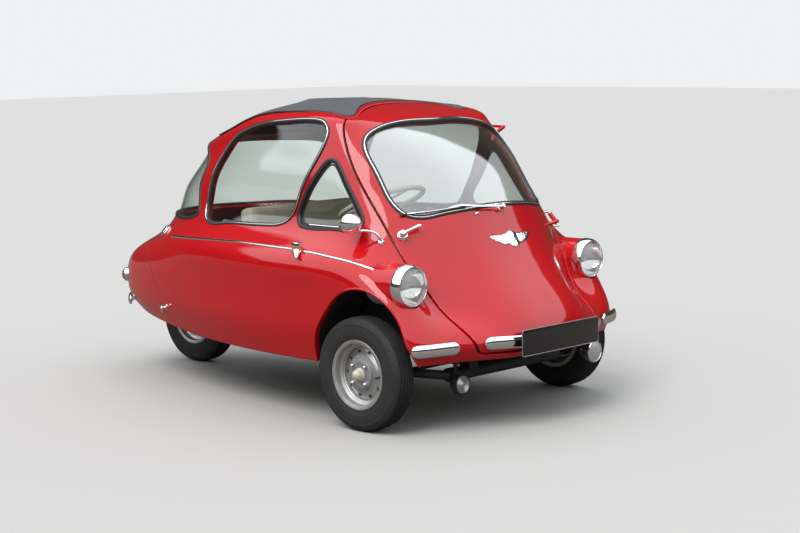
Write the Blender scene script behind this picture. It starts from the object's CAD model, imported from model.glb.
from math import ceil, cos, pi, radians, sin

import bmesh
import bpy
import numpy as np
from mathutils import Matrix, Vector
from mathutils.geometry import delaunay_2d_cdt
from numpy.linalg import norm


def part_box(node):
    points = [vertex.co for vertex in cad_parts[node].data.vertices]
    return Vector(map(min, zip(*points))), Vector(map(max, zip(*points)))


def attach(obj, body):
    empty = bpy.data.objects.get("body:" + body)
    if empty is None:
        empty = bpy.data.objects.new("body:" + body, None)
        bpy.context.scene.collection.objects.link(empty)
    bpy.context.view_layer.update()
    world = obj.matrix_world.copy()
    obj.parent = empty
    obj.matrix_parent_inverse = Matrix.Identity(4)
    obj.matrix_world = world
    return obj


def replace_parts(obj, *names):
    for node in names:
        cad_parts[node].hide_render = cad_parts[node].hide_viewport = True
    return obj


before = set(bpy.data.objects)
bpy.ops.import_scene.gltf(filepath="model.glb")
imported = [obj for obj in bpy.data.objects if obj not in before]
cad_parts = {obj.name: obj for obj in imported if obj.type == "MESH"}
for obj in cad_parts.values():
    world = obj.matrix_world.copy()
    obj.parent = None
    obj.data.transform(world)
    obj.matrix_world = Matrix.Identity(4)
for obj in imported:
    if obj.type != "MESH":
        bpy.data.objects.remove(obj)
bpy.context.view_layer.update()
scene = bpy.context.scene

# Camera, fitted to the photograph
CAMERA_AT = (5.74641075, -5.54529893, 1.53787573)
AZIMUTH, PITCH, ROLL = 0.769574136, 0.125099979, -0.0162672110
FOCAL, PICTURE_WIDTH, SENSOR = 1789.49439, 800.0, 36.0
look = Vector((-sin(AZIMUTH) * cos(PITCH), cos(AZIMUTH) * cos(PITCH), -sin(PITCH)))
side = Vector((cos(AZIMUTH), sin(AZIMUTH), 0))
rise = side.cross(look)
cos_roll, sin_roll = cos(ROLL), sin(ROLL)
side, rise = cos_roll * side + sin_roll * rise, -sin_roll * side + cos_roll * rise
camera_data = bpy.data.cameras.new("camera")
camera_data.sensor_width = SENSOR
camera_data.lens = SENSOR * FOCAL / PICTURE_WIDTH
camera = bpy.data.objects.new("camera", camera_data)
scene.collection.objects.link(camera)
camera.matrix_world = Matrix.Translation(CAMERA_AT) @ Matrix((side, rise, -look)).transposed().to_4x4()
scene.camera = camera


# Materials
def connect(tree, value, slot):
    if isinstance(value, bpy.types.NodeSocket):
        tree.links.new(value, slot)
    else:
        slot.default_value = value


def add(tree, kind, **values):
    # a shader node with its inputs set or linked
    node = tree.nodes.new("ShaderNode" + kind)
    for name, value in values.items():
        connect(tree, value, node.inputs[name.replace("_", " ")])
    return node


def blend(tree, share, first, second):
    node = tree.nodes.new("ShaderNodeMix")
    node.data_type = "RGBA"
    for slot, value in ((0, share), (6, first), (7, second)):
        connect(tree, value, node.inputs[slot])
    return node.outputs[2]


def maths(tree, kind, first, second):
    node = tree.nodes.new("ShaderNodeMath")
    node.operation = kind
    for slot, value in zip(node.inputs, (first, second)):
        connect(tree, value, slot)
    return node.outputs["Value"]


def mix_shaders(tree, share, first, second):
    node = add(tree, "MixShader", Fac=share)
    tree.links.new(first.outputs[0], node.inputs[1])
    tree.links.new(second.outputs[0], node.inputs[2])
    return node


def noise(tree, scale, detail):
    return add(tree, "TexNoise", Scale=scale, Detail=detail).outputs["Fac"]


def relief(tree, height, strength, distance, target):
    bump = add(tree, "Bump", Strength=strength, Distance=distance, Height=height)
    tree.links.new(bump.outputs["Normal"], target)


def threads(tree, scale, place=None, distortion=1.5):
    # warp and weft as two crossed waves
    waves = []
    for way in ("X", "Y"):
        wave = add(tree, "TexWave", Scale=scale, Distortion=distortion)
        wave.bands_direction = way
        if place:
            tree.links.new(place, wave.inputs["Vector"])
        waves.append(wave.outputs["Fac"])
    return maths(tree, "MULTIPLY", *waves)


PIERCED = (0.06, 0.055, 0.05, 1)


def material(name, color, rough=0.5, metal=0.0, coat=0.0, spec=0.5, bump=0.0, scale=200.0,
             grime=0.03, vary=0.16, weave=0.0, ripple=0.0, holes=0.0):
    made = bpy.data.materials.new(name)
    made.use_nodes = True
    tree = made.node_tree
    shader = tree.nodes["Principled BSDF"].inputs
    for slot, value in (("Metallic", metal), ("Coat Weight", coat), ("Coat Roughness", 0.03),
                        ("Specular IOR Level", spec)):
        shader[slot].default_value = value
    dark, light = [(*[part * (1 + change) for part in color], 1) for change in (-vary, vary)]
    tone = blend(tree, noise(tree, 4.0, 6), dark, light)
    if holes:
        place = add(tree, "TexCoord").outputs["Object"]
        dots = maths(tree, "GREATER_THAN", threads(tree, holes, place, 0.0), 0.42)
        tone = blend(tree, dots, tone, PIERCED)
    tree.links.new(tone, shader["Base Color"])
    wear = add(tree, "MapRange", From_Min=0.45, From_Max=0.75, To_Min=rough,
               To_Max=min(1.0, rough + grime), Value=noise(tree, 7.0, 6))
    tree.links.new(wear.outputs["Result"], shader["Roughness"])
    if weave or bump:
        height = threads(tree, weave) if weave else noise(tree, scale, 4)
        relief(tree, height, bump, 0.001, shader["Normal"])
    if ripple:
        relief(tree, noise(tree, 7.0, 2), ripple, 0.004, shader["Coat Normal"])
    return made


def glass(name, tint, ior=1.5, shine_color=(1, 1, 1), haze=0.0):
    # a clear sheet that shines more at a glancing angle, the same from both sides
    made = bpy.data.materials.new(name)
    made.use_nodes = True
    tree = made.node_tree
    tree.nodes.clear()
    behind = add(tree, "NewGeometry").outputs["Backfacing"]
    bend = add(tree, "MapRange", To_Min=ior, To_Max=1 / ior, Value=behind)
    weight = add(tree, "Fresnel", IOR=bend.outputs["Result"])
    clear = add(tree, "BsdfTransparent", Color=(*tint, 1))
    shine = add(tree, "BsdfGlossy", Roughness=0.02, Color=(*shine_color, 1))
    sheet = mix_shaders(tree, weight.outputs["Fac"], clear, shine)
    if haze:
        sheet = mix_shaders(tree, haze, sheet, add(tree, "BsdfDiffuse", Color=(0.8, 0.82, 0.82, 1)))
    tree.links.new(sheet.outputs[0], add(tree, "OutputMaterial").inputs["Surface"])
    return made


PAINT = material("paint", (0.62, 0.004, 0.009), 0.30, coat=1.0, spec=0.04, vary=0.08, ripple=0.25)
INSIDE = material("inside_paint", (0.30, 0.012, 0.012), 0.45)
LINING = material("lining", (0.46, 0.40, 0.31), 0.75, bump=0.3, scale=500)
CHROME = material("chrome", (0.82, 0.82, 0.82), 0.06, 1.0, grime=0.12)
RUBBER = material("rubber", (0.018, 0.018, 0.018), 0.48, bump=0.15, scale=400)
TYRE = material("tyre", (0.022, 0.021, 0.021), 0.72, bump=0.25, scale=300, vary=0.4, grime=0.15)
SILVER = material("wheel_silver", (0.48, 0.475, 0.46), 0.36, 0.75, grime=0.25, vary=0.3)
DRUM = material("drum_grey", (0.30, 0.30, 0.31), 0.5, 0.4, grime=0.2)
CREAM = material("cream", (0.70, 0.65, 0.53), 0.35, coat=0.3)
DARK = material("dark_metal", (0.025, 0.026, 0.028), 0.55, grime=0.2)
STEEL = material("grey_metal", (0.36, 0.36, 0.36), 0.4, 0.8, grime=0.2)
CLOTH = material("cloth", (0.115, 0.117, 0.121), 0.88, spec=0.2, bump=0.5, weave=160)
PIPING = material("piping", (0.012, 0.012, 0.013), 0.5)
SEAT = material("seat_cover", (0.60, 0.53, 0.41), 0.6, bump=0.25, weave=120)
AMBER = material("amber", (0.80, 0.20, 0.01), 0.12, coat=0.8)
RED_LENS = material("red_lens", (0.45, 0.006, 0.006), 0.1, coat=0.8)
PLATE = material("plate_black", (0.012, 0.012, 0.013), 0.22, coat=0.5)
CAST = material("cast", (0.12, 0.12, 0.12), 0.7, 0.4)
PERF = material("tray", (0.62, 0.60, 0.56), 0.6, holes=28)
PANE = glass("pane", (0.94, 0.97, 0.955))
SCREEN = glass("screen", (0.80, 0.82, 0.81), 1.7, (1.7, 1.7, 1.7))
LENS = glass("lens", (0.96, 0.97, 0.97), haze=0.32)
BULB = material("bulb", (0.9, 0.88, 0.8), 0.2)
SHEEN = material("mirror_glass", (0.75, 0.77, 0.78), 0.02, 1.0)
FROST = material("frosted", (0.62, 0.60, 0.58), 0.35, coat=0.6)
SEAM = material("groove", (0.06, 0.001, 0.002), 0.5)

# The skin: the same outlines as the solids, half outlines from the foot to the roof's top
OUTLINES = [
    ("foot", 0, (1207, 0, 284), (1189, 205, 284), (1128, 352, 284), (1090, 440, 284), (1060, 535, 284),
     (1008, 615, 281), (700, 648, 262), (230, 628, 252), (-300, 553, 256), (-760, 446, 284),
     (-1096, 276, 306), (-1232, 0, 316)),
    ("bumper", 355, (1237, 0), (1219, 213), (1148, 386), (1111, 457), (1080, 545), (1028, 630),
     (720, 672), (250, 660), (-300, 590), (-800, 465), (-1140, 295), (-1262, 0)),
    ("nose_low", 450, (1202, 0), (1173, 225), (1040, 416), (1032, 477), (1030, 545), (995, 632),
     (740, 683), (270, 672), (-300, 605), (-820, 475), (-1160, 300), (-1272, 0)),
    ("lamp", 580, (1105, 0), (1070, 235), (932, 454), (928, 502), (932, 560), (895, 636),
     (680, 685), (270, 680), (-280, 615), (-750, 490), (-1072, 310), (-1212, 0)),
    ("shoulder", 690, (1025, 0), (988, 255), (852, 487), (836, 528), (805, 573), (745, 617),
     (590, 655), (250, 655), (-250, 600), (-620, 475), (-860, 290), (-970, 0)),
    ("window_base", 780, (972, 0), (935, 262), (784, 491), (748, 518), (700, 538), (620, 551),
     (460, 558), (200, 557), (-220, 530), (-550, 445), (-780, 280), (-885, 0)),
    ("window_low", 920, (893, 0), (855, 262), (668, 489), (628, 508), (572, 521), (498, 530),
     (370, 536), (150, 534), (-190, 505), (-515, 424, 885), (-737, 273, 880), (-830, 0, 878)),
    ("window_high", 1070, (778, 0), (742, 260), (562, 482), (522, 495), (470, 503), (405, 508),
     (290, 510), (110, 505), (-170, 483, 1040), (-456, 406, 985), (-650, 262, 985), (-742, 0, 985)),
    ("roof_side", 1185, (622, 0, 1190), (589, 250, 1186), (498, 450, 1183), (460, 466), (415, 474),
     (358, 479), (265, 481), (105, 473), (-135, 447, 1145), (-412, 391, 1066), (-580, 250, 1066),
     (-664, 0, 1066)),
    ("roof_edge", 0, (330, 0, 1281), (398, 235, 1262), (450, 386, 1233), (411, 406, 1242), (366, 409, 1248),
     (308, 409, 1253), (210, 407, 1252), (50, 402, 1244), (-150, 399, 1206), (-370, 356, 1138),
     (-510, 228, 1132), (-588, 0, 1130)),
    ("roof_top", 0, (100, 0), (97, 66), (90, 118), (82, 136), (70, 148),
     (56, 154), (30, 154), (-6, 143), (-46, 121), (-91, 88), (-120, 45), (-130, 0)),
]
TOP_Z, TOP_SLOPE = 1280.5, -0.012
COLUMN_STEPS = (2.4, 2.6, 0.65, 0.75, 0.9, 2.0, 3.4, 4.5, 4.0, 3.1, 2.9)
LEVEL_STEPS = (0.7, 1.0, 1.5, 1.4, 1.1, 1.6, 1.8, 1.35, 1.75, 2.4)
WALL = 28.0


def second_derivatives(steps, closed):
    # each knot's second derivative as weights of all the knots' values
    n = len(steps) if closed else len(steps) + 1
    left = np.eye(n)
    right = np.zeros((n, n))
    for i in range(n):
        if not closed and i in (0, n - 1):
            continue
        before, after = steps[i - 1], steps[i]
        p, q = (i - 1) % n, (i + 1) % n
        left[i, i] = 2 * (before + after)
        left[i, p] = before
        left[i, q] = after
        right[i, q] += 6 / after
        right[i, i] -= 6 / after + 6 / before
        right[i, p] += 6 / before
    return np.linalg.solve(left, right)


class Spline:
    # cubic curve through knots, as weights of the knots' values
    def __init__(self, steps, closed):
        self.steps = np.array(steps, float)
        self.knots = np.concatenate([[0], np.cumsum(self.steps)])
        self.closed = closed
        self.bends = second_derivatives(steps, closed)
        self.values = np.eye(len(self.bends))

    def weights(self, x):
        x = np.asarray(x, float)
        if self.closed:
            x = x % self.knots[-1]
        i = np.clip(np.searchsorted(self.knots, x, "right") - 1, 0, len(self.steps) - 1)
        j = (i + 1) % len(self.values)
        h = self.steps[i][:, None]
        t = (x - self.knots[i])[:, None] / h
        v0, v1, b0, b1 = self.values[i], self.values[j], self.bends[i], self.bends[j]
        value = (1 - t) * v0 + t * v1 + h * h / 6 * ((1 - t) ** 3 - (1 - t)) * b0
        value += h * h / 6 * (t ** 3 - t) * b1
        slope = 1 / h * (v1 - v0) + h / 6 * (1 - 3 * (1 - t) ** 2) * b0 + h / 6 * (3 * t * t - 1) * b1
        return value, slope


def outline_grid():
    rows = []
    for name, level, *points in OUTLINES:
        half = []
        for p in points:
            z = p[2] if len(p) > 2 else level
            if name == "roof_top":
                z = TOP_Z + TOP_SLOPE * p[0]
            half.append((p[0], p[1], z))
        rows.append([half[-1]] + [(x, -y, z) for x, y, z in reversed(half[1:-1])] + half[:-1])
    return np.array(rows, float).transpose(1, 0, 2)


# KU and KV are the places of the columns and of the levels along u and v
GRID = outline_grid()
AROUND = Spline(tuple(reversed(COLUMN_STEPS)) + COLUMN_STEPS, True)
UPWARD = Spline(LEVEL_STEPS, False)
KU, KV = AROUND.knots, UPWARD.knots
TURN = KU[-1]
HALF = TURN / 2
V_END = KV[-1]


def surface(uv):
    # place, along-u and along-v slopes of the skin, for rows of (u, v)
    uv = np.asarray(uv, float).reshape(-1, 2)
    wu, du = AROUND.weights(uv[:, 0])
    wv, dv = UPWARD.weights(np.clip(uv[:, 1], 0, V_END))
    p = np.einsum("ai,ijk,aj->ak", wu, GRID, wv)
    pu = np.einsum("ai,ijk,aj->ak", du, GRID, wv)
    pv = np.einsum("ai,ijk,aj->ak", wu, GRID, dv)
    return p, pu, pv


def unit(a):
    return a / np.maximum(norm(a, axis=-1, keepdims=True), 1e-12)


def pairs(a, b):
    return np.stack([a, b], 1)


def tangents(points, closed):
    if closed:
        return unit(np.roll(points, -1, 0) - np.roll(points, 1, 0))
    return unit(np.gradient(points, axis=0))


def skin(uv, out=0.0):
    p, pu, pv = surface(uv)
    n = unit(np.cross(pu, pv))
    return p + n * np.asarray(out, float).reshape(-1, 1), n


SCAN_U, SCAN_V = np.meshgrid(np.linspace(-HALF, HALF, 361), np.linspace(0, V_END, 121), indexing="ij")
SCAN = pairs(SCAN_U.ravel(), SCAN_V.ravel())
SCAN_P = surface(SCAN)[0]


def find(points, axes, where):
    # skin places (u, v) whose two named coordinates are the given ones, on one part of the skin
    pts = np.asarray(points, float).reshape(-1, 2)
    near = where(SCAN_P)
    d = ((SCAN_P[near][None, :, list(axes)] - pts[:, None, :]) ** 2).sum(2)
    uv = SCAN[near][d.argmin(1)].copy()
    a, b = axes
    for _ in range(12):
        p, pu, pv = surface(uv)
        fa, fb = p[:, a] - pts[:, 0], p[:, b] - pts[:, 1]
        det = pu[:, a] * pv[:, b] - pv[:, a] * pu[:, b]
        det = np.where(abs(det) < 1e-6, 1e-6, det)
        step = pairs((fa * pv[:, b] - fb * pv[:, a]) / det, (fb * pu[:, a] - fa * pu[:, b]) / det)
        uv -= step / np.maximum(1, norm(step, axis=1, keepdims=True) / 0.6)
    return uv


def right_side(p):
    return (p[:, 1] < -200) & (p[:, 0] < 1075)


def on_side(points):
    return find(points, (0, 2), right_side)


def on_nose(points):
    return find(points, (1, 2), lambda p: p[:, 0] > 330)


def on_tail(points):
    return find(points, (1, 2), lambda p: (p[:, 0] < -300) & (p[:, 2] > 330))


def flip(uv):
    return pairs(-uv[:, 0], uv[:, 1])


def distances(line):
    # how far along the line each of its points lies
    return np.concatenate([[0], np.cumsum(norm(line[1:] - line[:-1], axis=1))])


def even(curve, n):
    d = distances(curve)
    x = np.linspace(0, d[-1], n)
    return np.stack([np.interp(x, d, curve[:, k]) for k in range(curve.shape[1])], 1)


def smooth_loop(points, n):
    # closed curve through the points, evenly spaced
    pts = np.asarray(points, float)
    s = Spline(tuple(norm(np.roll(pts, -1, 0) - pts, axis=1)), True)
    curve = s.weights(np.linspace(0, s.knots[-1], 900, endpoint=False))[0] @ pts
    return even(np.vstack([curve, curve[:1]]), n + 1)[:-1]


def smooth_line(points, n):
    pts = np.asarray(points, float)
    s = Spline(tuple(norm(pts[1:] - pts[:-1], axis=1)), False)
    return even(s.weights(np.linspace(0, s.knots[-1], 600))[0] @ pts, n)


def both_halves(half):
    return list(half) + [(-y, z) for y, z in reversed(half) if y > 0]


# Openings, read on the side, front and rear views
WINDSCREEN_YZ = [(0, 868), (187, 860), (293, 848), (378, 840), (415, 856), (430, 892), (433, 960),
                 (432, 1030), (428, 1090), (404, 1142), (335, 1181), (232, 1202), (98, 1210), (0, 1209)]
SIDE_WINDOW_XZ = [(-306, 786), (-314, 903), (-294, 985), (-252, 1060), (-180, 1137), (-93, 1173),
                  (0, 1197), (177, 1217), (352, 1223), (408, 1210), (434, 1180), (426, 1115), (376, 1020),
                  (304, 878), (272, 828), (243, 802), (158, 784), (-8, 779), (-151, 774), (-262, 769)]
QUARTER_XZ = [(330, 798), (316, 818), (315, 842), (331, 876), (372, 939), (410, 996), (441, 1037),
              (462, 1056), (488, 1063), (513, 1053), (535, 1030), (568, 983), (617, 918), (662, 856),
              (678, 818), (660, 794), (576, 787), (475, 785), (370, 786)]
REAR_WINDOW_YZ = [(0, 768), (250, 768), (424, 768), (474, 770), (492, 782), (484, 812), (466, 868),
                  (445, 943), (412, 1024), (366, 1072), (250, 1096), (120, 1104), (0, 1106)]
ARCH_XZ = [(517, 245), (518, 262), (526, 330), (553, 398), (606, 470), (668, 535), (752, 574), (823, 577),
           (889, 552), (946, 506), (993, 442), (1020, 375), (1033, 330), (1038, 275)]
LAMP = np.array([963.0, 560.0, 590.0])
LAMP_R = 85.0
LAMP_HOLE = LAMP_R + 0.5

WINDSCREEN = on_nose(smooth_loop(both_halves(WINDSCREEN_YZ), 150))
SIDE_R = on_side(smooth_loop(SIDE_WINDOW_XZ, 150))
QUARTER_R = on_side(smooth_loop(QUARTER_XZ, 110))
REAR = on_tail(smooth_loop(both_halves(REAR_WINDOW_YZ), 170))
SIDE_L, QUARTER_L = flip(SIDE_R), flip(QUARTER_R)
lamp_circle = [(-LAMP[1] + LAMP_HOLE * cos(a), LAMP[2] + LAMP_HOLE * sin(a))
               for a in np.linspace(0, 2 * pi, 64, endpoint=False)]
LAMP_HOLE_R = find(lamp_circle, (1, 2), lambda p: (p[:, 0] > 780) & (p[:, 1] < -430))
LAMP_HOLE_L = flip(LAMP_HOLE_R)

U_DOOR = KU[9]
V_DOOR_LOW = KV[1] * 0.34
V_DOOR_TOP = KV[9] - 0.10
V_ROOF = KV[9] + 0.32
U_LID = KU[1] * 0.8
V_LID_LOW = KV[1] + 0.52
V_LID_TOP = KV[4] - 0.10
SEAM_U, SEAM_V, SEAM_TOP = 0.115, 0.085, 0.112


# Outlines filled with triangles
def inside(points, loop):
    x, y = points[:, 0][:, None], points[:, 1][:, None]
    a, b = loop, np.roll(loop, -1, 0)
    spans = (a[:, 1] > y) != (b[:, 1] > y)
    height = np.where(b[:, 1] == a[:, 1], 1e-9, b[:, 1] - a[:, 1])
    cross = (b[:, 0] - a[:, 0]) * (y - a[:, 1]) / height + a[:, 0]
    return (spans & (x < cross)).sum(1) % 2 == 1


def fill(outer, holes, step):
    # triangles about one step wide over a flat outline with holes
    loops = [outer] + list(holes)
    edge = np.vstack(loops)
    lo, hi = outer.min(0), outer.max(0)
    xs = np.arange(lo[0] + step / 2, hi[0], step)
    ys = np.arange(lo[1] + step / 2, hi[1], step * 0.87)
    gx, gy = np.meshgrid(xs, ys, indexing="ij")
    gx = gx + (np.arange(len(ys)) % 2)[None, :] * step / 2
    pts = pairs(gx.ravel(), gy.ravel())
    pts = pts[inside(pts, outer)]
    for hole in holes:
        pts = pts[~inside(pts, hole)]
    keep = [((part[:, None, :] - edge[None]) ** 2).sum(2).min(1) > (0.55 * step) ** 2
            for part in (pts[k:k + 2000] for k in range(0, len(pts), 2000))]
    if keep:
        pts = pts[np.concatenate(keep)]
    edges, base = [], 0
    for loop in loops:
        n = len(loop)
        edges += [(base + i, base + (i + 1) % n) for i in range(n)]
        base += n
    points, _, faces = delaunay_2d_cdt([Vector(p) for p in np.vstack([edge, pts])], edges, [], 0, 1e-7)[:3]
    uv = np.array([tuple(p) for p in points])
    tri = np.array([f for f in faces if len(f) == 3])
    middle = uv[tri].mean(1)
    wanted = inside(middle, outer)
    for hole in holes:
        wanted &= ~inside(middle, hole)
    return uv, tri[wanted]


# Meshes and objects
def grid_faces(rows, cols, round_rows=False, round_cols=False):
    # four-sided faces between points that are stored row by row
    faces = []
    for r in range(rows if round_rows else rows - 1):
        a, b = r * cols, (r + 1) % rows * cols
        for c in range(cols if round_cols else cols - 1):
            d = (c + 1) % cols
            faces.append((a + c, a + d, b + d, b + c))
    return faces


class Build:
    # faces with their own normals, gathered into one smooth object
    def __init__(self):
        self.points, self.normals, self.faces, self.mats, self.count = [], [], [], [], 0

    def add(self, p, n, faces, mat=0):
        self.points.append(np.asarray(p, float))
        self.normals.append(np.broadcast_to(np.asarray(n, float), np.asarray(p).shape))
        self.faces += [tuple(int(i) + self.count for i in f) for f in faces]
        self.mats += [mat] * len(faces)
        self.count += len(p)

    def strip(self, p0, n0, p1, n1, closed=False):
        faces = grid_faces(2, len(p0), False, closed)
        self.add(np.vstack([p0, p1]), np.vstack([n0, n1]), faces)

    def object(self, name, mats, slot, body="chassis"):
        p, n = np.vstack(self.points), np.vstack(self.normals)
        _, first, back = np.unique(np.round(p, 2), axis=0, return_index=True, return_inverse=True)
        back = back.ravel()
        faces, mats_of, normals = [], [], []
        for f, mat in zip(self.faces, self.mats):
            g = [int(back[i]) for i in f]
            keep = [k for k in range(len(g)) if g[k] != g[k - 1]]
            kept = [g[k] for k in keep]
            if len(set(kept)) < 3:
                continue
            a, b, c = p[first[kept[:3]]]
            if np.dot(np.cross(b - a, c - a), n[[f[k] for k in keep]].sum(0)) < 0:
                keep = keep[::-1]
            faces.append([g[k] for k in keep])
            normals += [tuple(n[f[k]]) for k in keep]
            mats_of.append(mat)
        me = bpy.data.meshes.new(name)
        me.from_pydata([tuple(q / 1000) for q in p[first]], [], faces)
        for m in mats:
            me.materials.append(m)
        me.polygons.foreach_set("material_index", mats_of)
        me.polygons.foreach_set("use_smooth", [True] * len(faces))
        me.update()
        me.normals_split_custom_set(normals)
        return finish_object(name, me, slot, body)


def finish_object(name, me, slot, body):
    o = bpy.data.objects.new(name, me)
    scene.collection.objects.link(o)
    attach(o, body)
    return o


def simple(name, verts, faces, mat, slot, angle=35.0, body="chassis"):
    me = bpy.data.meshes.new(name)
    points = [tuple(np.asarray(v, float) / 1000) for v in verts]
    me.from_pydata(points, [], [tuple(int(i) for i in f) for f in faces])
    me.materials.append(mat)
    bm = bmesh.new()
    bm.from_mesh(me)
    bmesh.ops.remove_doubles(bm, verts=bm.verts, dist=1e-6)
    bmesh.ops.recalc_face_normals(bm, faces=bm.faces)
    bm.to_mesh(me)
    bm.free()
    me.polygons.foreach_set("use_smooth", [True] * len(me.polygons))
    me.set_sharp_from_angle(angle=radians(angle))
    return finish_object(name, me, slot, body)


def crosswise(axis, steep):
    # square to the axis and as far up as it goes, or forward where the axis is too steep
    ref = np.array([1.0, 0.0, 0.0] if abs(axis[2]) > steep else [0.0, 0.0, 1.0])
    return unit(ref - axis * (axis @ ref))


class Shape:
    # several simple closed forms gathered into one object
    def __init__(self):
        self.verts, self.faces = [], []

    def add(self, verts, faces):
        base = len(self.verts)
        self.verts += [tuple(np.asarray(v, float)) for v in verts]
        self.faces += [tuple(int(i) + base for i in f) for f in faces]
        return self

    def along(self, verts, rows, closed):
        # joins outlines that follow one another, with flat ends
        m = len(verts) // rows
        faces = grid_faces(rows, m, closed, True)
        if not closed:
            faces += [tuple(range(m)), tuple(range((rows - 1) * m, rows * m))]
        return self.add(verts, faces)

    def sweep(self, path, profile, ups=None, closed=False, scale=None):
        path = np.asarray(path, float)
        tan = tangents(path, closed)
        if ups is None:
            up, ups = crosswise(tan[0], 0.9), []
            for t in tan:
                up = unit(up - t * (up @ t))
                ups.append(up)
        ups = unit(ups - tan * (ups * tan).sum(1, keepdims=True))
        sides = np.cross(tan, ups)
        prof = np.asarray(profile, float)
        verts = []
        for k, p in enumerate(path):
            s = 1.0 if scale is None else scale[k]
            verts += list(p + sides[k] * prof[:, :1] * s + ups[k] * prof[:, 1:] * s)
        return self.along(verts, len(path), closed)

    def tube(self, path, r, seg=12, closed=False, scale=None):
        turns = [2 * pi * i / seg for i in range(seg)]
        return self.sweep(path, [(r * cos(a), r * sin(a)) for a in turns], None, closed, scale)

    def lathe(self, profile, base, axis, seg=48, closed=False):
        # profile rows are (distance along the axis, radius)
        axis = unit(np.asarray(axis, float))
        x = crosswise(axis, 0.95)
        y = np.cross(axis, x)
        base = np.asarray(base, float)
        verts = []
        for i in range(seg):
            a = 2 * pi * i / seg
            d = x * cos(a) + y * sin(a)
            verts += [base + axis * h + d * r for h, r in profile]
        return self.add(verts, grid_faces(seg, len(profile), True, closed))

    def block(self, lo, hi, r):
        # box with rounded edges
        lo, hi = np.asarray(lo, float), np.asarray(hi, float)
        bm = bmesh.new()
        bmesh.ops.create_cube(bm, size=1.0)
        for v in bm.verts:
            v.co = Vector((lo + hi) / 2 + np.array(v.co) * (hi - lo))
        bmesh.ops.bevel(bm, geom=bm.edges[:], offset=r, segments=3, affect="EDGES", profile=0.5)
        bm.verts.index_update()
        verts = [np.array(v.co) for v in bm.verts]
        faces = [[v.index for v in f.verts] for f in bm.faces]
        bm.free()
        return self.add(verts, faces)

    def object(self, name, mat, slot, angle=35.0, body="chassis"):
        return simple(name, self.verts, self.faces, mat, slot, angle, body)

    def mirrored(self):
        s = Shape()
        s.verts = [(x, -y, z) for x, y, z in self.verts]
        s.faces = [f[::-1] for f in self.faces]
        return s


# Trimmed panels, where one unit of u or v is about 100 mm
EDGE_ROUND, UNIT = 3.5, 100


def rolled(build, chain, closed, sign):
    # rounds the skin's edge along a chain of (u, v) and closes it to the inner face
    along = tangents(chain, closed)
    out2 = pairs(along[:, 1], -along[:, 0]) * sign
    if not closed:
        for k in (0, -1):
            if abs(abs(chain[k, 0]) - HALF) < 1e-6:
                out2[k] = (0, np.sign(out2[k, 1]))
    rows = []
    for degrees in (0, 30, 60, 90):
        f = radians(degrees)
        uv = chain - out2 * (EDGE_ROUND * (1 - sin(f)) / UNIT)
        p, pu, pv = surface(uv)
        n = unit(np.cross(pu, pv))
        t = unit(pu * out2[:, :1] + pv * out2[:, 1:])
        t = unit(t - n * (t * n).sum(1, keepdims=True))
        rows.append((p - n * (EDGE_ROUND * (1 - cos(f))), unit(n * cos(f) + t * sin(f)), uv))
    for a, b in zip(rows, rows[1:]):
        build.strip(a[0], a[1], b[0], b[1], closed)
    low = rows[-1][0] - n * (WALL - EDGE_ROUND)
    build.strip(rows[-1][0], t, low, t, closed)
    start = rows[0][2]
    build.strip(low, -n, skin(start, -WALL)[0], -n, closed)
    return start


def panel_faces(build, outer, holes, step):
    uv, tri = fill(outer, holes, step)
    p, n = skin(uv)
    build.add(p, n, tri)
    build.add(skin(uv, -WALL)[0], -n, tri, 1)
    for hole in holes:
        p = skin(hole)[0]
        inward = unit(p.mean(0) - p)
        build.strip(p, inward, skin(hole, -WALL)[0], inward, True)


def corner_path(points, radius, step=0.12, closed=False):
    # polyline with rounded corners, sampled densely
    pts = [np.asarray(p, float) for p in points]
    n = len(pts)
    out = []
    for i in range(n):
        if not closed and i in (0, n - 1):
            out.append(pts[i])
            continue
        a, b, c = pts[i - 1], pts[i], pts[(i + 1) % n]
        r = min(radius, 0.45 * norm(a - b), 0.45 * norm(c - b))
        out += [b + unit(a - b) * r * (1 - t) ** 2 + unit(c - b) * r * t ** 2 for t in np.linspace(0, 1, 9)]
    dense = []
    for i in range(len(out) if closed else len(out) - 1):
        a, b = out[i], out[(i + 1) % len(out)]
        k = max(1, int(ceil(norm(b - a) / step)))
        dense += [a + (b - a) * j / k for j in range(k)]
    if not closed:
        dense.append(out[-1])
    return np.array(dense)


def rounded(u0, u1, v0, v1, radius, step=0.12):
    return corner_path([(u0, v0), (u1, v0), (u1, v1), (u0, v1)], radius, step, True)


# Body skin
ARCH_BACK, ARCH_FRONT = 517.5, 1038.0
foot_u = np.linspace(0.3, HALF - 0.3, 4000)
foot_x = surface(pairs(foot_u, 0 * foot_u))[0][:, 0]
u_back, u_front = (foot_u[np.where(foot_x < x)[0][-1]] for x in (ARCH_BACK, ARCH_FRONT))
arch_chain = np.vstack([[(u_back, 0.0)], on_side(smooth_line(ARCH_XZ, 70)[4:-3]), [(u_front, 0.0)]])
arch_chain[:, 1] = np.maximum(arch_chain[:, 1], 0.0)
sill_u, nose_u = np.arange(0, u_back - 0.05, 0.12), np.linspace(u_front, HALF, 50)[1:]
half_foot = np.vstack([pairs(sill_u, 0 * sill_u), arch_chain, pairs(nose_u, 0 * nose_u)])
foot_chain = np.vstack([flip(half_foot)[::-1], half_foot[1:]])
notch = corner_path([(HALF, V_DOOR_LOW), (U_DOOR, V_DOOR_LOW), (U_DOOR, V_DOOR_TOP), (HALF, V_DOOR_TOP)],
                    0.22)
notch_l = flip(notch)[::-1]
roof_line = pairs(np.arange(HALF, -HALF - 1e-6, -HALF / 110), np.full(221, V_ROOF))
lid_hole = rounded(-U_LID, U_LID, V_LID_LOW, V_LID_TOP, 0.2)
body = Build()
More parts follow.
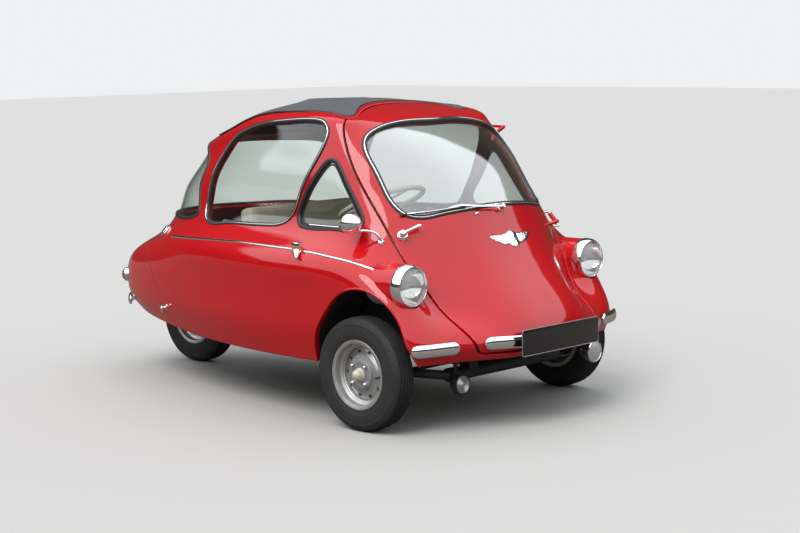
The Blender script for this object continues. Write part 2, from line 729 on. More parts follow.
foot_in, notch_in, notch_l_in = (rolled(body, chain, False, 1) for chain in (foot_chain, notch, notch_l))
lid_in = rolled(body, lid_hole, True, -1)
outer = np.vstack([foot_in, notch_in, roof_line, notch_l_in])
holes = [SIDE_R, SIDE_L, QUARTER_R, QUARTER_L, REAR, LAMP_HOLE_R, LAMP_HOLE_L, lid_in]
panel_faces(body, outer, holes, 0.20)
body_skin = body.object("body_skin", [PAINT, INSIDE], "paint")
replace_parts(body_skin, "body_shell")

# Door skin
door_u = U_DOOR + SEAM_U
door_loop = rounded(door_u, TURN - U_DOOR - SEAM_U, V_DOOR_LOW + SEAM_V, V_DOOR_TOP - SEAM_TOP, 0.15)
screen = WINDSCREEN.copy()
screen[:, 0] %= TURN
door = Build()
panel_faces(door, rolled(door, door_loop, True, 1), [screen], 0.18)
door_skin = door.object("door_skin", [PAINT, INSIDE], "paint", "door")
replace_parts(door_skin, "door_panel")

# Engine lid
lid_u = U_LID - SEAM_U * 1.2
lid = Build()
lid_edge = rolled(lid, rounded(-lid_u, lid_u, V_LID_LOW + SEAM_V, V_LID_TOP - SEAM_V, 0.14), True, 1)
panel_faces(lid, lid_edge, [], 0.2)
lid_skin = lid.object("lid_skin", [PAINT, INSIDE], "paint", "lid")
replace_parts(lid_skin, "engine_lid")


# Glass and its rubber
PANE_OUTER, PANE_INNER = 9.0, 14.0


def pane(name, loop, node, mat=PANE, body_name="chassis"):
    build = Build()
    uv, tri = fill(loop, [], 0.3)
    for depth, facing in ((PANE_OUTER, 1), (PANE_INNER, -1)):
        p, n = skin(uv, -depth)
        build.add(p, n * facing, tri)
    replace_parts(build.object(name, [mat], "glass", body_name), node)


pane("windscreen_pane", screen, "windscreen", SCREEN, "door")
pane("side_pane_r", SIDE_R, "side_glass_r")
pane("side_pane_l", SIDE_L, "side_glass_l")
pane("quarter_pane_r", QUARTER_R, "quarter_glass_r")
pane("quarter_pane_l", QUARTER_L, "quarter_glass_l")
pane("rear_pane", REAR, "rear_glass")


def loop_frame(loop):
    p, n = skin(loop)
    away = np.cross(tangents(p, True), n)
    if ((p - p.mean(0)) * away).sum() < 0:
        away = -away
    return p, n, away


def ribbon(p, n, away, profile, closed=True):
    # profile rows are (distance away from the hole, height over the skin)
    verts = [p[k] + away[k] * a + n[k] * h for k in range(len(p)) for a, h in profile]
    return Shape().along(verts, len(p), closed)


def seal(name, loop, wide=10.0, bright=True, body_name="chassis"):
    p, n, away = loop_frame(loop)
    rubber = [(-10, -9), (-10.5, -2), (-8, 1.5), (-3, 4.2), (wide * 0.5, 4.4), (wide - 1, 2.6), (wide, 0.2),
              (wide, -1), (-1, -1), (-1, -9)]
    ribbon(p, n, away, rubber).object(name + "_rubber", RUBBER, "rubber", 60, body_name)
    if bright:
        trim = [(-2.0, 3.6), (-1.4, 5.2), (0.6, 6.0), (2.8, 5.5), (3.6, 3.6)]
        ribbon(p, n, away, trim).object(name + "_bright", CHROME, "chrome", 60, body_name)


seal("windscreen", screen, 12, body_name="door")
seal("side_r", SIDE_R)
seal("side_l", SIDE_L)
seal("quarter_r", QUARTER_R, 9, False)
seal("quarter_l", QUARTER_L, 9, False)
seal("rear", REAR, 10, False)

# Fabric roof
BOWS, BOW_LIFT, BOW_WIDTH = (20.0, -210.0), 3.0, 30.0
around = np.linspace(0, TURN, 241)
edge_x = surface(pairs(around, np.full(len(around), KV[9])))[0][:, 0]
v_edge = KV[9] + 0.04 + 0.22 * np.clip((edge_x - 250) / 150, 0, 1)


def thinning(p):
    # the cloth is drawn down flat behind the front crown and above the rear glass
    return 1 - 0.78 * np.clip((p[:, 0] - 60) / 220, 0, 1) - 0.7 * np.clip((-p[:, 0] - 400) / 110, 0, 1)


def cloth_height(p, fade):
    # the cloth stands up over its hidden bows
    lift = np.zeros(len(p))
    for x in BOWS:
        lift += BOW_LIFT * np.exp(-((p[:, 0] - x) / BOW_WIDTH) ** 2)
    return ((7.5 + (1.5 + lift) * fade) * thinning(p))[:, None]


rows = []
for t in np.linspace(0, 1, 46) ** 0.8:
    v = v_edge + (V_END - v_edge) * t
    p, n = skin(pairs(around, v))
    rows.append(p + n * cloth_height(p, np.minimum(1.0, (v - v_edge) / 0.5)))
low, away = skin(pairs(around, v_edge))
centre = np.array([rows[-1][:, 0].mean(), 0.0, rows[-1][:, 2].mean() + 2.5])
middle = [centre + (rows[-1] - centre) * share + np.array([0, 0, 2.2 * (1 - share)])
          for share in (0.75, 0.5, 0.25, 0.02)]
rows = [low + away * 0.5, low + away * cloth_height(low, np.zeros(len(low))) * 0.8] + rows + middle
faces = grid_faces(len(rows), len(around))
faces.append(tuple((len(rows) - 1) * len(around) + i for i in range(len(around) - 1)))
cloth = simple("roof_cloth", np.concatenate(rows), faces, CLOTH, "fabric", 50)
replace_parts(cloth, "roof_fabric")
border, away = skin(pairs(around, v_edge - 0.015)[:-1])
border = border + away * (5.5 * thinning(border) - 2)[:, None]
Shape().tube(border, 4.2, 10, True).object("roof_piping", PIPING, "fabric")

# Chrome strip along each side
SIDES = (("r", 1), ("l", -1))
STRIP_XZ = [(-560, 686), (-264, 701), (39, 709), (245, 707), (420, 704), (619, 690), (770, 667), (856, 640)]
STRIP_PROFILE = [(-6, 0.2), (-5.2, 2.6), (-2.5, 4.2), (0, 4.7), (2.5, 4.2), (5.2, 2.6), (6, 0.2)]


def on_both(uv, out):
    # the same skin places on the right and the left side
    for tag, turned in (("r", uv), ("l", flip(uv))):
        yield tag, *skin(turned, out)


for tag, p, n in on_both(on_side(smooth_line(STRIP_XZ, 90)), 0.0):
    away = unit(np.cross(tangents(p, False), n))
    ribbon(p, n, away, STRIP_PROFILE, False).object("side_strip_" + tag, CHROME, "chrome", 60)

# Edge of the wheel arches
for tag, p, n in on_both(arch_chain, -3.0):
    Shape().tube(p, 5.5, 10).object("arch_lip_" + tag, PAINT, "paint", 60)

# Wheels and tyres, about their own middle with the outer face at +Y
FRONT_X, REAR_X, HALF_TRACK, WHEEL_Z = 765, -995, 610, 230


def spun(profile, seg, closed=False):
    return Shape().lathe(profile, (0, 0, 0), (0, 1, 0), seg, closed)


def on_circle(radius, degrees, y=0.0):
    a = radians(degrees)
    return np.array([radius * cos(a), y, radius * sin(a)])


def tyre_shape():
    # the five grooves run in a zigzag, the sidewall is plain
    wall = [(-43.2, 128.8), (-45, 136), (-46, 141.9), (-51, 142.3), (-52.6, 146), (-52.0, 149),
            (-53.6, 152), (-55, 165), (-55, 178), (-54.2, 190), (-52.6, 200), (-53.2, 203), (-51.5, 207),
            (-48, 215), (-45, 220.5), (-43, 223.0), (-38.5, 225.6)]
    depth, half_width, zigzag, seg = 6.0, 2.2, 1.6, 168

    def crown(w):
        return WHEEL_Z - (abs(w) / 38.0) ** 2.4 * 3.6

    profile = [(w, r, 0.0) for w, r in wall]
    for g in (-31.0, -15.5, 0.0, 15.5, 31.0):
        left, right = g - half_width, g + half_width
        profile += [(left - 0.2, crown(left), 1.0), (left + 0.5, crown(g) - depth, 1.0),
                    (right - 0.5, crown(g) - depth, 1.0), (right + 0.2, crown(right), 1.0)]
    profile += [(-w, r, 0.0) for w, r in reversed(wall)]
    verts = []
    for i in range(seg):
        a = 2 * pi * i / seg
        shift = zigzag if i % 4 < 2 else -zigzag
        verts += [(r * cos(a), w + shift * share, r * sin(a)) for w, r, share in profile]
    return Shape().add(verts, grid_faces(seg, len(profile), True))


def moved(shape, x, y, mirror):
    source = shape.mirrored() if mirror else shape
    made = Shape()
    made.verts = [(a + x, b + y, c + WHEEL_Z) for a, b, c in source.verts]
    made.faces = source.faces
    return made


tyre = tyre_shape()
rim = spun([(49.5, 137), (50, 139.5), (49, 141), (46.5, 141), (45.6, 139), (44.2, 128.4), (26, 127),
            (18, 112), (-18, 112), (-26, 127), (-44.2, 128.4), (-45.6, 139), (-46.5, 141), (-49, 141),
            (-50, 139.5), (-49.5, 137), (-47, 124), (-29, 122), (-20, 108), (12, 108), (21, 122),
            (40, 123.5), (46.5, 126), (48.2, 131)], 96, True)
disc = spun([(-7, 108.5), (-2, 108), (1, 103), (0, 97), (4, 90), (12, 82), (17, 78), (17.5, 74), (14, 71),
             (13, 66), (16, 60), (24, 52), (29, 46), (31, 40)], 96)
drum = spun([(-8, 78), (12, 79), (20, 74), (22, 66), (30, 62), (33, 56), (33.5, 44), (32, 40), (32, 0)], 72)
cap = spun([(32, 27), (36, 27), (38, 23), (52, 21), (60, 17), (65, 10), (67, 0)], 48)
nuts, vents = Shape(), Shape()
for k in range(4):
    centre = on_circle(49, 45 + 90 * k)
    nuts.lathe([(30, 8.5), (40, 8.5), (42.5, 7), (42.5, 0)], centre, (0, 1, 0), 6)
    nuts.lathe([(42, 4.2), (47, 4.2), (48, 3), (48, 0)], centre, (0, 1, 0), 14)
for k in range(10):
    vents.lathe([(-3, 6.5), (1.2, 6.5), (1.2, 0)], on_circle(92, 36 * k, 6.2), (0, 1, 0), 16)
valve = Shape().lathe([(30, 4), (48, 4), (49, 2.6), (58, 2.6), (58, 0)], (104, 0, 0), (0.1, 1, 0), 14)
WHEEL_PIECES = [("tread", tyre, TYRE, "tyre", 28), ("rim", rim, SILVER, "wheel_silver", 40),
                ("disc", disc, SILVER, "wheel_silver", 40), ("valve", valve, RUBBER, "rubber", 35),
                ("vents", vents, DARK, "dark_metal", 35), ("drum", drum, DRUM, "grey_metal", 30),
                ("cap", cap, CREAM, "cream", 30), ("nuts", nuts, CHROME, "chrome", 30)]
for tag, node, x, y, body_name in (("front_r", "front_wheel_r", FRONT_X, -HALF_TRACK, "wheel_fr"),
                                   ("front_l", "front_wheel_l", FRONT_X, HALF_TRACK, "wheel_fl"),
                                   ("rear", "rear_wheel", REAR_X, 0, "wheel_rear")):
    made = {}
    for piece, shape, mat, slot, angle in WHEEL_PIECES[:5] if tag == "rear" else WHEEL_PIECES:
        made[piece] = moved(shape, x, y, y <= 0).object(tag + "_" + piece, mat, slot, angle, body_name)
    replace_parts(made["tread"], node.replace("wheel", "tyre"))
    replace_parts(made["rim"], node)
rear_drum = Shape().lathe([(-34, 11.2), (-34, 40), (-30, 70), (30, 70), (34, 40), (34, 11.2)],
                          (REAR_X, 0, WHEEL_Z), (0, 1, 0), 64)
rear_drum.object("rear_drum", DRUM, "grey_metal", 30, "wheel_rear")

# Head lamps
FORWARD, UPRIGHT = (1, 0, 0), (0, 0, 1)
LENS_R, LENS_RINGS, LENS_SEG = 74.0, 22, 120
LENS_X, LENS_DOME, FLUTE, FLUTE_PITCH = 981, 20, 0.9, 8.5
SLEEVE_X, SLEEVE_OUTER, SLEEVE_INNER, SLEEVE_SET_BACK = 948.0, 85.2, 83.2, 8.0
hole_edge = surface(LAMP_HOLE_R)[0]
back = hole_edge[:, 0].min() - 3
for tag, sign in SIDES:
    base = (0.0, -sign * LAMP[1], LAMP[2])
    rows = []
    for x, r in ((None, SLEEVE_OUTER), (SLEEVE_X, SLEEVE_OUTER), (SLEEVE_X, SLEEVE_INNER),
                 (None, SLEEVE_INNER)):
        row = hole_edge * (1.0, sign * 1.0, 1.0) - base
        row[:, 1:] *= r / LAMP_HOLE
        row[:, 0] = hole_edge[:, 0] - SLEEVE_SET_BACK if x is None else x
        rows.append(row + base)
    sleeve = Shape().add(np.vstack(rows), grid_faces(4, len(hole_edge), True, True))
    sleeve.object("lamp_sleeve_" + tag, PAINT, "paint")
    cup = Shape().lathe([(946, 84), (945, 87), (948, 88.5), (962, 88.5), (975, 86.5), (984, 83), (989, 79),
                         (989, 76.5), (985, 74.5), (976, 73.5)], base, FORWARD, 96)
    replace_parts(cup.object("lamp_ring_" + tag, CHROME, "lamp", 50), "headlamp_" + tag)
    bucket = [(940, 82.6), (back, 82.6), (back - 12, 79), (back - 30, 66), (back - 42, 40), (back - 45, 0)]
    bowl = [(976, 73), (958, 66), (940, 52), (926, 30), (922, 0)]
    bulb = [(930, 7), (950, 9), (956, 6), (958, 0)]
    for name, profile, seg, mat, slot, angle in (("lamp_bucket_", bucket, 72, DRUM, "grey_metal", 35),
                                                 ("lamp_bowl_", bowl, 72, CHROME, "lamp", 60),
                                                 ("lamp_bulb_", bulb, 24, BULB, "lamp", 35)):
        Shape().lathe(profile, base, FORWARD, seg).object(name + tag, mat, slot, angle)
    verts = []
    for r in (LENS_R * j / LENS_RINGS for j in range(LENS_RINGS + 1)):
        for a in (2 * pi * i / LENS_SEG for i in range(LENS_SEG)):
            y, z = r * cos(a), r * sin(a)
            flute = FLUTE * cos(2 * pi * y / FLUTE_PITCH) * min(1.0, (LENS_R - r) / 6)
            verts.append((LENS_X + LENS_DOME * (1 - (r / LENS_R) ** 2) + flute, base[1] + y, base[2] + z))
    faces = grid_faces(LENS_RINGS + 1, LENS_SEG, False, True)
    simple("lamp_lens_" + tag, verts, faces, LENS, "glass", 80)


# Bumpers
def at_height(u, z, out):
    # skin places and normals at the columns u where the skin reaches height z
    u = np.atleast_1d(np.asarray(u, float))
    lo, hi = np.zeros(len(u)), np.full(len(u), V_END)
    for _ in range(30):
        mid = (lo + hi) / 2
        below = surface(pairs(u, mid))[0][:, 2] < z
        lo, hi = np.where(below, mid, lo), np.where(below, hi, mid)
    return skin(pairs(u, lo), out)


def spot(u, z, out=0.0):
    p, n = at_height(u, z, out)
    return p[0], n[0]


def column(k, share):
    return KU[k] + (KU[k + 1] - KU[k]) * share


BAR_OUT, BAR_DEPTH, BAR_END, BAR_FLATTER = 16.6, 12.0, 30.0, 0.55


def bar(u0, u1, z, n=70, height=26.0):
    # rounded bar along the skin, with round ends and a flatter inner side
    p, away = at_height(np.linspace(u0, u1, n), z, BAR_OUT)
    away[:, 2] = 0
    run = distances(p)
    end = np.minimum(run, run[-1] - run)
    scale = np.sqrt(np.clip(1 - (1 - np.clip(end / BAR_END, 0, 1)) ** 2, 0.02, 1))
    prof = [(height * sin(a), BAR_DEPTH * cos(a)) for a in np.radians(np.arange(0, 360, 15))]
    prof = [(a, b if b > 0 else b * BAR_FLATTER) for a, b in prof]
    return Shape().sweep(p, prof, unit(away), scale=scale)


def twins(shape, name, mat, slot, angle=35.0):
    # makes the piece on both sides and gives the right one
    right = shape.object(name + "_r", mat, slot, angle)
    shape.mirrored().object(name + "_l", mat, slot, angle)
    return right


wing_bar = bar(column(6, 0.06), column(8, 0.14), 350)
for tag, shape in (("r", wing_bar), ("l", wing_bar.mirrored())):
    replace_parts(shape.object("wing_bar_" + tag, CHROME, "chrome", 60), "fender_bumper_" + tag)
door_bar = bar(column(9, 0.14), TURN - column(9, 0.14), 357, 120)
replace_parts(door_bar.object("door_bar", CHROME, "chrome", 60, "door"), "door_bumper")
rear_bar = bar(column(0, 0.46), column(1, 0.29), 345, 70, 25)
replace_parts(twins(rear_bar, "rear_bar", CHROME, "chrome", 60), "rear_bumpers")

# Blank number plate with its bright border
plate_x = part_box("front_plate")[0].x * 1000
plate = Shape().block((plate_x + 1, -240, 300), (plate_x + 3, 240, 404), 0.8)
plate.object("plate_face", PLATE, "plate", body="door")
plate_edge = np.insert(rounded(-241, 241, 300, 404, 8, 6), 0, plate_x + 3.0, 1)
border = Shape().tube(plate_edge, 1.9, 8, True)
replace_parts(border.object("plate_border", STEEL, "chrome", 60, "door"), "front_plate")

# Panel gaps are backed with dark rubber
GAP_SEAL_IN, GAP_SEAL_R = 20.0, 5.5
for name, chain, closed in (("door_gap_seal", notch, False), ("door_gap_seal_l", notch_l, False),
                            ("lid_gap_seal", lid_hole, True)):
    Shape().tube(skin(chain, -GAP_SEAL_IN)[0], GAP_SEAL_R, 8, closed).object(name, RUBBER, "rubber")


# Fittings on the skin
def local_frame(x, z):
    # place, outward and upward directions on the right side
    p, pu, pv = surface(on_side([(x, z)]))
    n = unit(np.cross(pu, pv))
    up = unit(pv - n * (pv * n).sum(1, keepdims=True))
    return p[0], n[0], up[0]


def dress(mat, *names):
    for name in names:
        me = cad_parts[name].data
        me.materials.clear()
        me.materials.append(mat)


dress(DARK, "floor_pan", "wheel_housing_r", "wheel_housing_l", "rear_shelf", "front_suspension",
      "rear_suspension", "knuckle_r", "knuckle_l")
dress(CAST, "engine_block")
dress(STEEL, "exhaust")
dress(CREAM, "steering_column")
dress(CHROME, "hinge_pins", "lid_handle", "lid_hinges")
dress(PAINT, "door_hinges")

# Side indicators: a bright cap over an amber body, with a tapered bright foot
p, n, up = local_frame(430, 700)
base = p + n * 11
amber = Shape().lathe([(11, 0), (11, 19.5), (0, 20.5), (-10, 19), (-20, 16.5), (-20, 0)], base, UPRIGHT, 40)
caps = Shape().lathe([(30, 0), (30, 16), (27, 20.5), (22, 21.5), (11, 21.5), (10, 19)], base, UPRIGHT, 40)
caps.lathe([(-17, 0), (-17, 17.5), (-28, 14.5), (-42, 9), (-54, 5), (-58, 0)], base, up, 32)
caps.lathe([(-1, 17), (4, 16), (9, 12), (12, 0)], p, n, 32)
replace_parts(twins(amber, "indicator", AMBER, "amber"), "side_indicators")
twins(caps, "indicator_cap", CHROME, "chrome")

# Mirror on the right
p, n, up = local_frame(778, 748)
head = np.array([690.0, -600.0, 824.0])
bowl = Shape().lathe([(-20, 38.5), (-20, 41), (-17, 42), (-8, 42), (4, 40.5), (16, 37), (28, 31), (39, 22),
                      (47, 12), (51, 0)], head, FORWARD, 64)
bowl.lathe([(-1, 15), (2, 15), (6, 12), (9, 9), (10, 0)], p, n, 32)
arm = smooth_line([p + n * 6, p + n * 22 + np.array([-12, 0, 12]), head + np.array([14, 0, -30])], 14)
bowl.tube(arm, 5.0, 14, scale=np.linspace(1.25, 0.9, 14))
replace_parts(bowl.object("mirror_bowl", CHROME, "chrome"), "mirror")
Shape().lathe([(-17, 39), (-17.2, 0)], head, FORWARD, 64).object("mirror_face", SHEEN, "chrome")

# Door handle
p, n = spot(column(9, 0.24), 772)
tip = spot(column(9, 0.55), 800, 26.0)[0]
grip = Shape().lathe([(-1, 21), (2, 21), (5, 17), (6, 12), (14, 11), (18, 12)], p, n, 40)
grip.lathe([(14, 0), (15, 8), (19, 13.5), (26, 16), (33, 13.5), (37, 8), (38.5, 0)], p, n, 40)
lever_scale = [0.95, 0.9, 0.85, 0.8, 0.78, 0.76, 0.76, 0.78, 0.82, 0.88, 0.95, 1.02, 1.08, 1.08, 0.95, 0.5]
grip.tube(smooth_line([p + n * 27, (p + n * 32 + tip) / 2, tip], 16), 8.0, 16, scale=lever_scale)
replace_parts(grip.object("door_grip", CHROME, "chrome", body="door"), "door_handle")

# Wiper: black blade, bright arm
WASHER_U = 26.03
BLADE = [(column(9, 0.35), 846), (column(9, 0.75), 853), (column(10, 0.02), 861), (column(10, 0.35), 868)]
ARM = [(column(11, 0.08), 850), (column(10, 0.80), 856), (column(10, 0.45), 863), (column(10, 0.10), 866)]
pts = [spot(u, z, 12.0) for u, z in BLADE]
blade, blade_n = smooth_line([p for p, n in pts], 40), unit(smooth_line([n for p, n in pts], 40))
strip = Shape().sweep(blade, [(-2.2, 4), (2.2, 4), (2.2, -2), (0.8, -4), (0.6, -9), (-0.6, -9), (-0.8, -4),
                              (-2.2, -2)], blade_n)
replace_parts(strip.object("wiper_blade", RUBBER, "rubber", body="door"), "wiper")
pts = [spot(u, z, 21.0) for u, z in ARM]
arm = smooth_line([p for p, n in pts] + [blade[27] + blade_n[27] * 8], 40)
rod = Shape().sweep(arm, [(-3.4, 1.6), (0, 2.6), (3.4, 1.6), (3.4, -1.4), (-3.4, -1.4)],
                    unit(np.repeat([pts[1][1]], 40, 0)), scale=np.linspace(1.3, 0.7, 40))
rod.tube(blade[4:-4] + blade_n[4:-4] * 5.5, 2.4, 8)
p, n = spot(ARM[0][0], 850)
rod.lathe([(-0.5, 15), (3, 15), (6, 11), (17, 9.5), (24, 11), (28, 9), (30, 0)], p, n, 32)
p, n = spot(WASHER_U, 838)
rod.lathe([(-1, 7), (2, 7), (5, 4.8), (10, 4.8), (12, 2.5), (12, 0)], p, n, 20)
rod.object("wiper_arm", CHROME, "chrome", body="door")

# Winged ornament, blank, with its feathers in low relief
BADGE_YZ = [(0, 697), (18, 700), (30, 709), (60, 711), (97, 724), (128, 743), (122, 747), (60, 747),
            (30, 750), (14, 757), (0, 758)]
BADGE_Y, BADGE_LIFT, FEATHER, FEATHER_PITCH = 20.0, 2.6, 1.1, 6.5
badge_uv = on_nose(corner_path(both_halves(BADGE_YZ), 2.0, 4.0, True) + np.array([BADGE_Y, 0.0]))
badge_uv[:, 0] %= TURN
uv, tri = fill(badge_uv, [], 0.05)
p, n = skin(uv)
m = len(badge_uv)
off = abs(p[:, 1] - BADGE_Y)
lift = BADGE_LIFT + FEATHER * np.abs(np.sin((p[:, 2] - 0.22 * off) * pi / FEATHER_PITCH))
lift[:m] = 1.6
lift += 2.4 * np.clip(1 - off / 26.0, 0, 1) ** 0.5
verts = np.vstack([p + n * lift[:, None], p[:m] + n[:m] * 0.2])
faces = [tuple(t) for t in tri] + [(i, (i + 1) % m, len(p) + (i + 1) % m, len(p) + i) for i in range(m)]
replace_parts(simple("wing_badge", verts, faces, CHROME, "chrome", 30, "door"), "nose_badge")

# Horn and round lamp under the nose
base = (0, -350, 180)
case = Shape().lathe([(1002, 0), (1002, 24), (1022, 26), (1028, 40), (1040, 42), (1052, 42), (1054, 39),
                      (1050, 35)], base, FORWARD, 48)
case.sweep([(1012, -350, 200), (1012, -350, 289.4)], [(-12, 2), (12, 2), (12, -2), (-12, -2)])
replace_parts(case.object("horn_case", DARK, "dark_metal"), "horn")
face = Shape().lathe([(1051, 36), (1054, 33), (1051, 29), (1055, 25), (1052, 20), (1056, 15), (1053, 11),
                      (1056, 7), (1056, 0)], base, FORWARD, 48)
face.object("horn_face", SILVER, "grey_metal")
base = (0, 350, 232)
case = Shape().lathe([(1098, 0), (1100, 12), (1108, 26), (1122, 38), (1142, 45), (1160, 47.5), (1168, 47),
                      (1170, 43), (1167, 41)], base, FORWARD, 48)
case.sweep([(1122, 350, 268), (1122, 350, 283.2)], [(-9, 9), (9, 9), (9, -9), (-9, -9)])
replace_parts(case.object("low_lamp_case", CHROME, "lamp"), "fog_lamp")
lens = Shape().lathe([(1167, 42), (1173, 34), (1177, 20), (1178.5, 0)], base, FORWARD, 48)
lens.object("low_lamp_lens", FROST, "lamp")

# Tail lamps, filler cap and side catch
p, n = spot(column(1, 0.06), 448)
ring = Shape().lathe([(-1, 33), (6, 33), (13, 32.5), (16, 30), (15, 27.5), (12, 27)], p, n, 48)
lens = Shape().lathe([(12, 28), (18, 26.5), (24, 21), (28, 12), (29.5, 0)], p, n, 48)
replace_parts(twins(ring, "tail_ring", CHROME, "chrome"), "tail_lamps")
twins(lens, "tail_lens", RED_LENS, "red_lens")
p, n, up = local_frame(-702, 694)
filler = Shape().lathe([(-1, 31), (3, 32), (5, 30), (6, 27), (11, 26.5), (13, 24), (14, 0)], p, n, 48)
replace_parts(filler.object("filler_lid", CHROME, "chrome"), "filler_cap")
p, n, up = local_frame(-593, 363)
knob = Shape().lathe([(-1, 14), (3, 14), (7, 8), (13, 7), (17, 11), (23, 11.5), (27, 8), (28, 0)], p, n, 28)
knob.tube([p + n * 24 - up * 17, p + n * 24 + up * 17], 4.5, 12)
knob.object("side_catch", CHROME, "chrome")
GROOVE_XZ = [(-793, 615), (-783, 587), (-756, 556), (-727, 533), (-704, 500), (-685, 474), (-646, 458)]
for tag, p, n in on_both(on_side(smooth_line(GROOVE_XZ, 60)), 0.1):
    Shape().tube(p, 1.5, 6).object("wing_groove_" + tag, SEAM, "paint")

# Seat
CUSHION_ROUND, PLEAT, PUFF = 26, 86.0, 6.0


def cushion(lo, hi, top):
    # box with rounded edges whose face along the axis called top is pleated
    lo, hi = np.asarray(lo, float), np.asarray(hi, float)
    bm = bmesh.new()
    bmesh.ops.create_cube(bm, size=1.0)
    bmesh.ops.subdivide_edges(bm, edges=bm.edges[:], cuts=30, use_grid_fill=True)
    bm.verts.index_update()
    p = (lo + hi) / 2 + np.array([v.co[:] for v in bm.verts]) * (hi - lo)
    faces = [[v.index for v in f.verts] for f in bm.faces]
    bm.free()
    inner = np.clip(p, lo + CUSHION_ROUND, hi - CUSHION_ROUND)
    d = p - inner
    far = norm(d, axis=1, keepdims=True)
    p = inner + d / np.maximum(far, 1e-9) * np.minimum(far, CUSHION_ROUND)
    grow = np.clip((p[:, top] - (hi[top] - CUSHION_ROUND)) / CUSHION_ROUND, 0, 1)
    p[:, top] += grow * (PUFF * np.abs(np.sin(p[:, 1] * pi / PLEAT)) ** 0.5 - PUFF)
    return p, faces


p, faces = cushion((-66, -428, 406), (398, 428, 486), 2)
seat = simple("seat_cushion", p, faces, SEAT, "seat", 50)
p, faces = cushion((-128, -428, 402), (-38, 428, 832), 0)
lean, foot = np.array(Matrix.Rotation(radians(-9), 3, "Y")), np.array([-85.0, 0, 400])
back = simple("seat_back", foot + (p - foot) @ lean.T, faces, SEAT, "seat", 50)
seat_box = Shape().block((-30, -400, 298.5), (360, 400, 408), 3).object("seat_box", DARK, "dark_metal")
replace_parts(seat_box, "seat_bench")

# Steering wheel
axis = np.array([-0.4126, 0, 0.9109])
hub = np.array([556.0, -290.0, 872.0])
rim_circle = [(11 * sin(a), 180 + 11 * cos(a)) for a in np.radians(np.arange(0, 360, 24))]
helm = Shape().lathe(rim_circle, hub, axis, 96, True)
helm.lathe([(-13, 9.2), (-13, 29), (8, 30), (13, 26), (15, 16), (18, 10), (18, 0)], hub, axis, 40)
across = np.array([0.0, 1.0, 0.0])
for a in np.radians((90, 210, 330)):
    d = np.cross(across, axis) * sin(a) + across * cos(a)
    helm.tube([hub + d * 24, hub + d * 100, hub + d * 172], 5.5, 12)
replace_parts(helm.object("helm_ring", CREAM, "cream", body="helm"), "steering_wheel")

# Roof bows
BOW_HALF, BOW_IN, BOW_R = 372, 12.0, 6.0
for k, x in enumerate(BOWS):
    line = pairs(np.full(50, x), np.linspace(-BOW_HALF, BOW_HALF, 50))
    uv = find(line, (0, 1), lambda q: q[:, 2] > 1090)
    Shape().tube(skin(uv, -BOW_IN)[0], BOW_R, 10).object("roof_bow_%d" % k, DARK, "dark_metal")

# Door lining, a sheet on the door's inner face
LINING_OUT, LINING_IN = -29.0, -32.5
lining = rounded(column(9, 0.16), TURN - column(9, 0.16), KV[1] + 0.2, KV[5] - 0.15, 0.5, 0.25)
uv, tri = fill(lining, [], 0.4)
sheet = Build()
p, n = skin(uv, LINING_IN)
sheet.add(p, -n, tri)
p = skin(lining, LINING_OUT)[0]
away = unit(p - p.mean(0))
sheet.strip(p, away, skin(lining, LINING_IN)[0], away, True)
sheet.object("door_lining", [LINING], "cream", "door")

# Pierced trays under the side windows, frames and catches of the vents
TRAY_X, TRAY_Z, TRAY_WIDE, TRAY_POINTS = (-262, 250), 766, 52, 60
CATCH_X, CATCH_Z = (385, 560), 799


def level_line(ends, z, n):
    return on_side(pairs(np.linspace(*ends, n), np.full(n, z)))


lip = np.array([0, 0, 26.0])
tray_faces = grid_faces(4, TRAY_POINTS, True)
for end in (0, TRAY_POINTS - 1):
    tray_faces.append(tuple(end + TRAY_POINTS * k for k in range(4)))
for tag, p, n in on_both(level_line(TRAY_X, TRAY_Z, TRAY_POINTS), LINING_OUT):
    n[:, 2] = 0
    edge = p - unit(n) * TRAY_WIDE + lip
    simple("side_tray_" + tag, np.vstack([p, edge, edge - lip, p - lip]), tray_faces, PERF, "cream", 40)
for tag, loop in (("r", QUARTER_R), ("l", QUARTER_L)):
    p, n, away = loop_frame(loop)
    Shape().tube(p - away * 17 - n * 8, 4.0, 8, True).object("vent_frame_" + tag, RUBBER, "rubber")
for tag, p, n in on_both(level_line(CATCH_X, CATCH_Z, 14), -5.5):
    Shape().tube(p, 4.5, 10).object("vent_catch_" + tag, CHROME, "chrome")

# Spring and damper sleeves seen in the arches
for tag, sign in SIDES:
    foot, top = np.array([832.0, -sign * 452, 236]), np.array([898.0, -sign * 456, 528])
    sleeve = Shape().tube([foot + (top - foot) * share for share in (0.28, 0.93)], 24.5, 24)
    sleeve.object("damper_sleeve_" + tag, DRUM, "grey_metal")

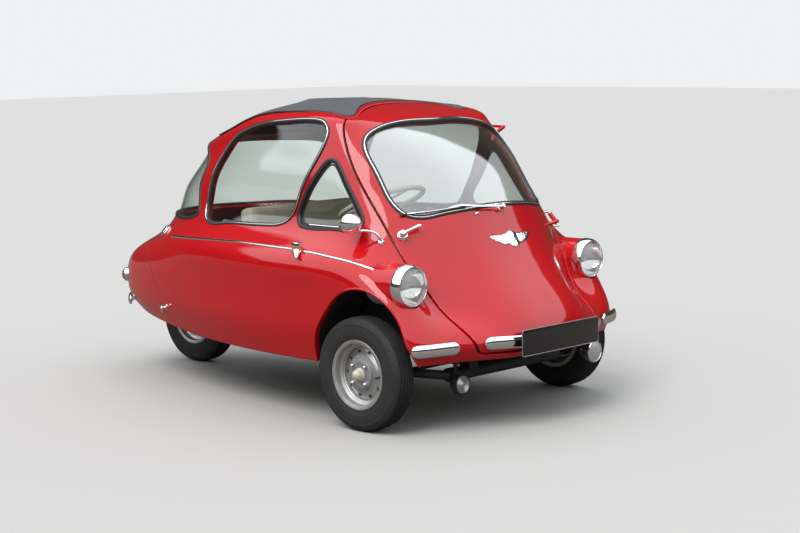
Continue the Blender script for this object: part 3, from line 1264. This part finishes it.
# Stage
floor_mesh = bpy.data.meshes.new("floor")
floor_mesh.from_pydata([(-40, -40, 0), (40, -40, 0), (40, 40, 0), (-40, 40, 0)], [], [(0, 1, 2, 3)])
floor = bpy.data.objects.new("floor", floor_mesh)
scene.collection.objects.link(floor)
ground = material("floor", (0.52, 0.50, 0.47), 0.8)
tree = ground.node_tree
seen = add(tree, "LightPath").outputs["Is Camera Ray"]
tone = blend(tree, seen, (0.17, 0.14, 0.12, 1), (0.56, 0.54, 0.51, 1))
tree.links.new(tone, tree.nodes["Principled BSDF"].inputs["Base Color"])
floor_mesh.materials.append(ground)

# Sky: plain behind the car, soft light from above
world = bpy.data.worlds.new("sky")
scene.world = world
world.use_nodes = True
tree = world.node_tree
tree.nodes.clear()
rays = add(tree, "LightPath").outputs
way = add(tree, "SeparateXYZ", Vector=add(tree, "TexCoord").outputs["Generated"]).outputs
ramp = add(tree, "ValToRGB", Fac=way["Z"])
bands = ramp.color_ramp.elements
bands[0].color, bands[1].color = (0.10, 0.11, 0.10, 1), (0.95, 1.0, 1.08, 1)
for height, color in ((0.22, (0.13, 0.14, 0.12, 1)), (0.42, (0.75, 0.80, 0.86, 1))):
    bands.new(height).color = color
sky = add(tree, "Background", Color=ramp.outputs["Color"], Strength=1.15)
backdrop = add(tree, "Background", Color=(0.86, 0.87, 0.88, 1))

# Shiny faces see an open sky over a dark wall behind the car and a low hedge around it
wall = [maths(tree, "MULTIPLY", way["X"], -0.83), maths(tree, "MULTIPLY", way["Y"], 0.85)]
skyline = maths(tree, "MAXIMUM", maths(tree, "ADD", *wall), 0.2)
above = maths(tree, "MULTIPLY", maths(tree, "SUBTRACT", way["Z"], skyline), 18.0)
open_sky = add(tree, "Clamp", Value=above).outputs["Result"]
mirrored_color = blend(tree, open_sky, (0.055, 0.06, 0.05, 1), (1.75, 1.82, 1.9, 1))
shine_sky = add(tree, "Background", Color=mirrored_color)
unseen = mix_shaders(tree, rays["Is Glossy Ray"], sky, shine_sky)
whole = mix_shaders(tree, rays["Is Camera Ray"], unseen, backdrop)
tree.links.new(whole.outputs[0], add(tree, "OutputWorld").inputs["Surface"])
sun_data = bpy.data.lights.new("sun", "SUN")
sun_data.energy = 1.6
sun_data.angle = 0.6
sun = bpy.data.objects.new("sun", sun_data)
sun.rotation_euler = (radians(38), radians(-8), radians(20))
scene.collection.objects.link(sun)
scene.view_settings.view_transform = "Standard"
